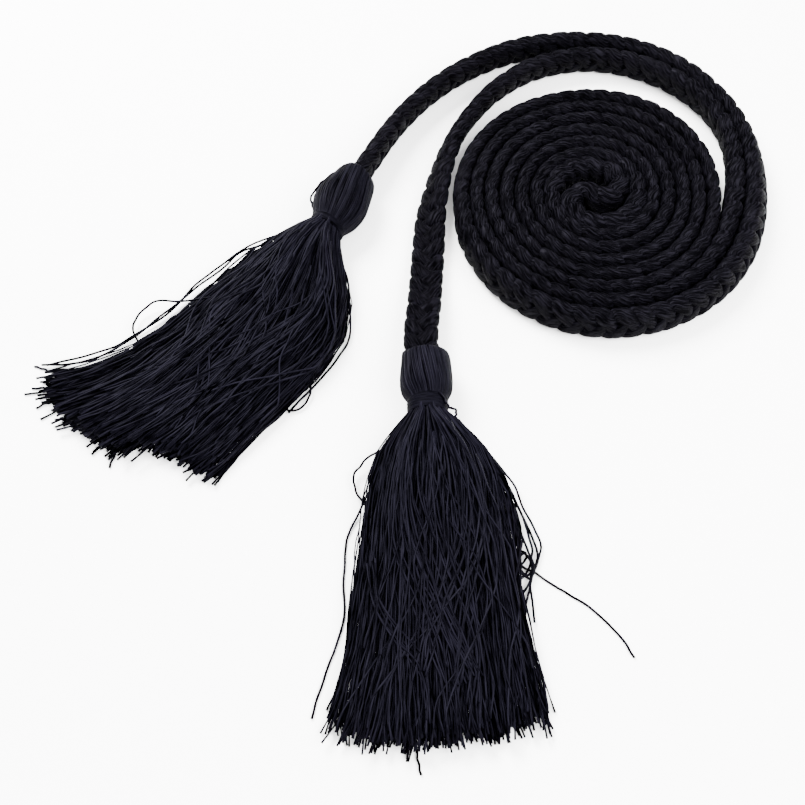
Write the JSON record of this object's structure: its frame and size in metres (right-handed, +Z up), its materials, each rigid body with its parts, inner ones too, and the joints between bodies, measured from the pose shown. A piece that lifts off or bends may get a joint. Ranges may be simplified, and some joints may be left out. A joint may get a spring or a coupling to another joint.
{
  "type": "rope belt",
  "caption": "Flat-plaited cord belt folded at its middle and wound from there into a flat spiral, with a tassel on each free end.",
  "frame": {"origin": "the middle of the spiral, on the plane that the belt lies on", "axes": "+Z up from the floor, +X to the right and +Y away from the viewer as the belt is laid, so that one tassel points to -Y and the other to -X and -Y"},
  "size_m": [0.2106, 0.2214, 0.0138],
  "materials": {
    "rope": "plaited cotton thread, very dark navy, matt",
    "tassel": "loose cotton thread, very dark navy, faint sheen",
    "binding": "wound cotton thread, very dark navy, matt"
  },
  "bodies": {
    "root": {"rope_coil": "rope", "rope_tail_left": "rope", "rope_tail_front": "rope", "tassel_left": "tassel", "tassel_front": "tassel", "neck_binding_left": "binding", "neck_binding_front": "binding"}
  },
  "joints": []
}
